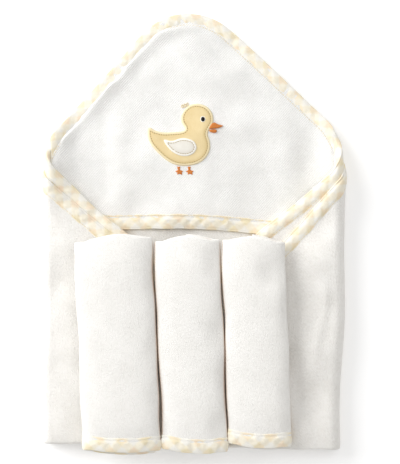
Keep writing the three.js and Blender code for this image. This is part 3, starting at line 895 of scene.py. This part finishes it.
def clockwise(loop):
    x, y = loop[:, 0], loop[:, 1]
    area = np.sum(x * np.roll(y, -1) - np.roll(x, -1) * y)
    return loop if area < 0 else loop[::-1]


def closed(loop):
    return np.vstack([loop, loop[:1]])


def loop_normals(loop):
    """Unit normals of a clockwise loop, into it."""
    return normals_of(np.vstack([loop[-1:], loop, loop[:1]]))[1:-1]


def rounded(loop, passes):
    for _ in range(passes):
        loop = (np.roll(loop, 1, axis=0) + 2 * loop + np.roll(loop, -1, axis=0)) / 4
    return loop


def patch(name, node, material, slot, base, profile, step=0.7 * MM, passes=2, spread=0.0):
    """A thin shape sewn on the hood. profile gives its height over base from the distance to its edge."""
    loop = rounded(resampled(closed(clockwise(outline_of(node))), step)[:-1], passes)
    if spread:
        loop = loop - loop_normals(loop) * spread
    spacing = step * 1.3
    low, high = loop.min(axis=0), loop.max(axis=0)
    columns, rows = [np.arange(low[k], high[k], spacing) for k in range(2)]
    spots = np.stack(np.meshgrid(columns, rows), axis=-1).reshape(-1, 2)
    spots = spots[distance_to(closed(loop), *spots.T) > step * 0.7]
    edges = [(i, (i + 1) % len(loop)) for i in range(len(loop))]
    flat, _, triangles, *_ = delaunay_2d_cdt([Vector(p) for p in (*loop, *spots)], edges, [], 1, 1e-7)
    flat = np.array(flat, float)
    distance = distance_to(closed(loop), *flat.T)
    top = on_hood(*flat.T, base + profile(distance))
    bottom = on_hood(*flat.T, base + 0 * distance)
    size = len(flat)
    faces = [tuple(face) for face in triangles]
    faces += [tuple(v + size for v in reversed(face)) for face in triangles]
    faces += [(b, a, a + size, b + size) for a, b in border_of(triangles)]
    obj = make_object(name, np.vstack([top, bottom]), faces, material)
    inward = obj.data.attributes.new("inward", "FLOAT", "POINT")
    inward.data.foreach_set("value", np.clip(np.tile(distance, 2) / EDGE_REACH, 0, 1).astype(np.float32))
    bend_with_hood(outward(obj), slot, node)
    return loop


def rim(height, width, dip=0.0, inset=0.0):
    """Height of a patch: rounded at its edge and pulled down along its row of stitches."""

    def profile(distance):
        rise = height * np.sqrt(np.clip(1 - (1 - np.clip(distance / width, 0, 1)) ** 2, 0, 1))
        return rise - dip * np.exp(-(((distance - inset) / (0.7 * MM)) ** 2)) * (distance > 0.4 * MM)

    return profile


def satin(label, base, profile, **fineness):
    node = f"duck_{label}"
    patch(f"{node}_satin", node, ORANGE, "orange_thread", base, profile, passes=1, **fineness)


def duckling():
    hood_face = HOOD + PLUSH / 2
    body_face = hood_face + 1.5 * MM
    body = patch("duck_body_cloth", "duck_body_patch", YELLOW, "yellow_cloth", hood_face - 0.3 * MM,
                 rim(1.8 * MM, 2 * MM, 0.45 * MM, 3 * MM))
    wing = patch("duck_wing_cloth", "duck_wing_patch", CREAM, "cream_cloth", body_face - 0.3 * MM,
                 rim(1.3 * MM, 1.6 * MM, 0.4 * MM, 2.6 * MM))
    for label, loop, inset, height in (
        ("body", body, 3 * MM, body_face - 0.35 * MM),
        ("wing", wing, 2.6 * MM, body_face + 0.75 * MM),
    ):
        line = inner_loop(loop, inset)
        row = stitches(f"duck_{label}_stitches", line, on_hood, height, GOLD, 1.5 * MM, 1.0 * MM, 0.3 * MM)
        bend_with_hood(row, "gold_thread", f"duck_{label}_topstitch")
    for label in ("upper_bill", "lower_bill"):
        satin(label, body_face - 0.4 * MM, rim(1.1 * MM, 1.2 * MM), step=0.4 * MM)
    for label in ("left_foot", "right_foot"):
        satin(label, hood_face - 0.3 * MM, rim(1.0 * MM, 0.9 * MM), step=0.35 * MM, spread=0.4 * MM)
    eye(body_face)
    tuft(hood_face)


def inner_loop(loop, inset):
    """A closed row inside an outline, smoothed where the outline turns sharply."""
    line = loop + loop_normals(loop) * inset
    line = line[distance_to(closed(loop), *line.T) > inset * 0.93]
    return closed(rounded(resampled(closed(line), 0.8 * MM)[:-1], 3))


def eye(face):
    """A satin-stitched eye in a pale ring."""
    low, high = [Vector(c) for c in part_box("duck_eye")]
    middle, half = (low + high) / 2, (high - low) / 2
    around = np.linspace(0, 2 * math.pi, 29)[:-1]
    shares = np.array([1.0, 0.95, 0.8, 0.55, 0.28, 0.05])

    def dome(name, grow, base, height, material, slot, *nodes):
        rings = []
        for share, lift in [(1.0, 0.0)] + list(zip(shares, np.sqrt(1 - shares**2))):
            x = middle.x + np.cos(around) * (half.x + grow) * share
            y = middle.y + np.sin(around) * (half.y + grow) * share
            rings.append(on_hood(x, y, base + height * lift * np.ones_like(x)))
        bend_with_hood(loft(name, np.array(rings), material), slot, *nodes)

    dome("duck_eye_ring", 0.9 * MM, face - 0.3 * MM, 0.75 * MM, CREAM, "cream_cloth")
    dome("duck_eye_satin", 0, face + 0.1 * MM, 0.9 * MM, BLACK, "black_thread", "duck_eye")


def tuft(face):
    """Loops of pale thread on top of the head."""
    low, high = [Vector(c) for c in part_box("duck_tuft")]
    width, height = high.x - low.x, high.y - low.y
    lines = []
    for share in (0.2, 0.6, 1.0):
        turns = np.linspace(-0.25 * math.pi, 1.25 * math.pi, 14)
        x = low.x + width * share + 1.0 * MM * np.cos(turns)
        y = low.y + height * (0.1 + share * 0.5) + 1.7 * MM * np.sin(turns)
        lines.append(np.column_stack([x, y]))
    thread = dict(length=1.2 * MM, gap=0.1 * MM, radius=0.38 * MM)
    row = stitches("duck_tuft_thread", np.vstack(lines), on_hood, face + 0.3 * MM, TUFT, **thread)
    bend_with_hood(row, "gold_thread", "duck_tuft")


# ---------------------------------------------------------------- the washcloths

ROLL_TURNS = 1.55
ROLL_STEP = 4.6 * MM  # from one turn to the next, across
ROLL_SINK = 6.6 * MM  # the same, up and down: the inner turns lie flat
ROLL_PLUSH = 4.2 * MM  # doubled terry
TAPE = 14 * MM
ROLL_STITCH_INSET = 11.5 * MM


class Roll:
    """A washcloth rolled loosely and lying flat. s counts turns from its core, and y runs along it.
    peak says where its upper end stands out furthest, from -1 on its left to 1 on its right, fall how far
    it drops from there to its sides, and peek how far each inner turn stands out of the lower end."""

    def __init__(self, name, seed, peak, fall, peek):
        self.name, self.seed, self.peak, self.fall, self.peek = name, seed, peak, fall, peek
        edging, cloth = node_points(f"{name}_washcloth_binding"), node_points(f"{name}_washcloth")
        self.bottom, self.top = edging[:, 1].min(), cloth[:, 1].max()
        self.floor, self.height = edging[:, 2].min(), np.ptp(edging[:, 2])
        near = edging[edging[:, 1] < self.bottom + 3 * MM][:, 0]
        far = cloth[cloth[:, 1] > self.top - 3 * MM][:, 0]
        self.x_bottom, self.x_top = (near.min() + near.max()) / 2, (far.min() + far.max()) / 2
        self.width = np.ptp(near) + 2.4 * MM
        self.moves = np.zeros((2, 2, 3))
        self.moves = self.plumped()

    def plumped(self):
        """Blows up the outer turn as a closed bag, with its ends and its underside held. Gives how far each
        point moves, over the turn and along the roll."""
        around, along = 84, 56
        s = ROLL_TURNS - 1 + np.arange(around) / around
        y = np.linspace(self.bottom + 3 * MM, self.top - 3 * MM, along)
        turn, run = np.meshgrid(s, y)
        bag = self.middle(turn, run)
        ends = [bag[0].mean(axis=0), bag[-1].mean(axis=0)]
        points = np.vstack([bag.reshape(-1, 3), ends])
        faces = grid_faces(along, around, wrap_columns=True)
        last = (along - 1) * around
        for k in range(around):
            faces.append([(k + 1) % around, k, len(points) - 2])
            faces.append([last + k, last + (k + 1) % around, len(points) - 1])
        under = points[:, 2] < self.floor + ROLL_PLUSH / 2 + 1 * MM
        at_end = (points[:, 1] < y[0] + 1 * MM) | (points[:, 1] > y[-1] - 1 * MM)
        moves = simulated(f"{self.name}_bag", points, faces, under | at_end, 0.024, 3.0, 2.4 * MM)
        moves = moves[:-2].reshape(along, around, 3)
        moves[..., 0] *= 0.5  # the rolls lie side by side and leave no room
        moves *= smoothstep(np.minimum(y - y[0], y[-1] - y) / (30 * MM))[:, None, None]
        return softened(np.concatenate([moves, moves[:, :1]], axis=1), 12)

    def middle(self, s, y):
        """The middle surface of the rolled cloth."""
        left = ROLL_TURNS - s
        share = np.clip((y - self.bottom) / (self.top - self.bottom), 0, 1)
        ends = np.clip(np.minimum(y - self.bottom, self.top - y), 0, None)
        narrow = 1 - 0.035 * np.exp(-ends / (6 * MM)) + 0.008 * ripple(y, s * 30 * MM, 75 * MM, self.seed)
        half_width = ((self.width + ROLL_STEP - ROLL_PLUSH) / 2 - left * ROLL_STEP) * narrow
        sag = 1 - 0.12 * np.exp(-ends / (10 * MM))
        half_height = (self.height / 2 - left * ROLL_SINK - ROLL_PLUSH / 2) * sag
        half_height = half_height * (1 + 0.04 * ripple(y, s * 45 * MM, 90 * MM, self.seed + 1))
        half_height = np.maximum(half_height, 0.8 * MM)
        across, up = np.sin(left * 2 * math.pi), -np.cos(left * 2 * math.pi)
        box = np.where(up < 0, 3.0, 2.0)  # flatter underneath than on top
        out = (np.abs(across) ** box + np.abs(up) ** box) ** (-1 / box)
        drift = 1.0 * MM * ripple(y, 0 * y, 120 * MM, 30)  # alike for all rolls, which lie side by side
        x = self.x_bottom + (self.x_top - self.x_bottom) * share + drift - ROLL_STEP / 4
        x = x + half_width * across * out
        lowest = self.floor + ROLL_PLUSH / 2
        z = lowest + (self.height / 2 * sag - ROLL_PLUSH / 2) * 0.85 + half_height * up * out
        shape = np.stack([x, y + 0 * x, np.maximum(z, lowest)], axis=-1)
        row = share * (self.moves.shape[0] - 1) * np.ones_like(x)
        column = (s - ROLL_TURNS + 2) % 1 * (self.moves.shape[1] - 1) * np.ones_like(x)
        return shape + between(self.moves, row, column) * np.array([1, 0.3, 1])

    def point(self, s, y, n):
        """A point of the rolled cloth, n out from its middle surface."""
        here = self.middle(s, y)
        ahead = self.middle(s + 1e-3, y) - here
        ahead[..., 1] = 0
        ahead = unit(ahead)
        out = np.stack([ahead[..., 2], 0 * ahead[..., 1], -ahead[..., 0]], axis=-1)
        return here + out * np.asarray(n)[..., None]

    def ends_at(self, s):
        """The y of both ends of the rolled cloth: they don't lie quite level."""
        left = ROLL_TURNS - s
        across = np.clip(1.3 * np.sin(left * 2 * math.pi), -1, 1)
        wobble = ripple(s * 60 * MM, 0 * s, 40 * MM, self.seed + 2)
        drop = self.fall * (np.abs(across - self.peak) / (1 + abs(self.peak))) ** 1.7
        top = self.top + 2.0 * MM - drop + 0.9 * MM * wobble - 1.8 * MM * left
        bottom = self.bottom + 2.2 * MM * np.abs(across) ** 3 + 1.1 * MM * wobble - self.peek * left
        return bottom, top

    def cloth(self):
        s = np.linspace(0.02, ROLL_TURNS, 170)
        bottom, top = self.ends_at(s)
        half = ROLL_PLUSH / 2
        turns = np.linspace(-math.pi / 2, math.pi / 2, 9)[1:-1][:, None]
        t = np.linspace(0, 1, 90)[:, None]
        start, end = bottom + 3 * MM, top - half
        run = start + (end - start) * t
        y = np.vstack([run, end + half * np.cos(turns), run[::-1]])
        round_end = -half * np.sin(turns) * np.ones_like(s)
        n = np.vstack([np.full_like(run, half), round_end, np.full_like(run, -half)])
        points = self.point(np.broadcast_to(s, y.shape), y, n)
        rows, size = y.shape
        faces = grid_faces(rows, size, wrap_rows=True)
        for column in (0, size - 1):
            faces.append([i * size + column for i in range(rows)])
        obj = outward(make_object(f"{self.name}_washcloth_cloth", points.reshape(-1, 3), faces, VELOUR))
        self.finish(obj, "terry")

    def binding(self):
        s = np.linspace(0.02, ROLL_TURNS, 230)
        bottom, _ = self.ends_at(s)
        section = tape_section(-ROLL_PLUSH / 2, ROLL_PLUSH / 2, TAPE)
        lengths = lengths_along(self.middle(s, bottom))

        def spot(d, n):
            return self.point(np.broadcast_to(s[:, None], d.shape), bottom[:, None] + d, n)

        obj = tape(f"{self.name}_washcloth_tape", lengths, section, 0.8 * MM, self.seed + 3, spot)
        self.finish(obj, "gingham", "binding")

    def stitching(self):
        s = np.linspace(ROLL_TURNS - 0.95, ROLL_TURNS - 0.05, 1500)
        bottom, _ = self.ends_at(s)
        lengths = lengths_along(self.point(s, bottom + ROLL_STITCH_INSET, 0 * s + ROLL_PLUSH / 2))

        def spots(u, y, h):
            turn = np.interp(u, lengths, s)
            return self.point(turn, self.ends_at(turn)[0] + ROLL_STITCH_INSET + y, h)

        line = np.column_stack([lengths, 0 * lengths])
        obj = stitches(f"{self.name}_washcloth_stitches", line, spots, ROLL_PLUSH / 2 + 0.2 * MM, COTTON)
        self.finish(obj, "cotton_thread", "topstitch")

    def finish(self, obj, slot, part=None):
        body = f"{self.name}_washcloth"
        ride(obj, slot, body, f"{body}_{part}" if part else body)

    def build(self):
        self.cloth()
        self.binding()
        self.stitching()


# ---------------------------------------------------------------- build it

EDGINGS = np.vstack([node_points(f"{name}_washcloth_binding") for name in ("left", "middle", "right")])
ROLLS_LOW, ROLLS_HIGH, ROLLS_TOP = EDGINGS[:, 0].min(), EDGINGS[:, 0].max(), EDGINGS[:, 1].max()


def lapel_freedom(x, y):
    """How far a point of the lapels lies from all that holds it down: the washcloths and the folds."""
    beside_rolls = np.maximum(ROLLS_LOW - x, x - ROLLS_HIGH)
    to_rolls = np.where(y < ROLLS_TOP, beside_rolls, beside_rolls + 20 * MM)
    to_fold = np.minimum(x - FOLD_X[-1], FOLD_X[1] - x) + 4 * MM
    return np.min([to_rolls, to_fold, y - BOTTOM], axis=0)


MARGIN = Vector((10 * MM, 10 * MM))
SPAN = (SQUARE_LOW.xy - MARGIN, SQUARE_HIGH.xy + MARGIN)
HOOD_SLACK = slack_sheet("hood_slack", *SPAN, 5 * MM, free_distance, 0.012, 61)
LAPEL_SLACK = slack_sheet("lapel_slack", *SPAN, 5 * MM, lapel_freedom, 0.015, 62)

towel_square()
edge_tape("front", INNER_EDGE, BODY, BODY - PLY / 2, HOOD + PLY / 2)
edge_tape("back", OUTER_EDGE, BACK, BACK - PLY / 2, BACK + PLY / 2)
edge_topstitches("front", "inner", INNER_EDGE, BODY)
edge_topstitches("back", "outer", OUTER_EDGE, BACK)
hood_cloth()
hood_front_tape()
duckling()
Roll("left", 31, peak=0.35, fall=8.5 * MM, peek=1.6 * MM).build()
Roll("middle", 41, peak=0.15, fall=7.0 * MM, peek=-0.6 * MM).build()
Roll("right", 51, peak=0.0, fall=5.0 * MM, peek=0.3 * MM).build()

# ---------------------------------------------------------------- floor, light and camera

FLOOR_GLOW = 0.18  # keeps the pale floor white up to the towel's soft shadow
SKY_LIGHT = 0.55
KEY = {"location": (-2.3, 1.4, 1.15), "size": 3.0, "power": 105}  # from the upper left
FILL = {"location": (0.4, 0.3, 2.0), "size": 1.6, "power": 8.0}
PICTURE_HEIGHT = 479 * MM  # of what the picture takes in, at the towel
PICTURE_SHIFT = Vector((6.5, -0.5, 15)) * MM  # from the middle of the towel's box, and up from the floor
CAMERA_DISTANCE = 1.8
SENSOR = 36


def floor():
    n = Nodes("floor")
    n.feed(n.shader, Base_Color=(0.93, 0.93, 0.93, 1), Roughness=0.9)
    n.feed(n.shader, Emission_Color=(1, 1, 1, 1), Emission_Strength=FLOOR_GLOW)
    corners = 3.0 * np.array([(-1, -1, 0), (1, -1, 0), (1, 1, 0), (-1, 1, 0)])
    plane = make_object("floor", corners, [[0, 1, 2, 3]], n.material)
    plane.location.z = -0.3 * MM


def area_light(name, location, size, power):
    """A round soft light that faces the towel."""
    data = bpy.data.lights.new(name, "AREA")
    data.shape, data.size, data.energy = "DISK", size, power
    lamp = bpy.data.objects.new(name, data)
    lamp.location = location
    lamp.rotation_euler = (-Vector(location)).to_track_quat("-Z", "Y").to_euler()
    bpy.context.scene.collection.objects.link(lamp)


def studio():
    floor()
    area_light("key", **KEY)
    area_light("fill", **FILL)
    world = bpy.data.worlds.new("world")
    world.use_nodes = True
    sky = world.node_tree.nodes["Background"].inputs
    sky["Color"].default_value = (1, 0.995, 0.985, 1)
    sky["Strength"].default_value = SKY_LIGHT
    bpy.context.scene.world = world
    bpy.context.scene.view_settings.view_transform = "Standard"


def camera():
    low, high = [Vector(corner) for corner in CAD_BOX]
    middle = (low + high) / 2
    data = bpy.data.cameras.new("camera")
    data.sensor_fit = "AUTO"
    data.sensor_width = SENSOR
    data.lens = SENSOR * CAMERA_DISTANCE / PICTURE_HEIGHT
    data.clip_end = 10
    eye_point = bpy.data.objects.new("camera", data)
    eye_point.location = Vector((middle.x, middle.y, CAMERA_DISTANCE)) + PICTURE_SHIFT
    bpy.context.scene.collection.objects.link(eye_point)
    bpy.context.scene.camera = eye_point


studio()
camera()
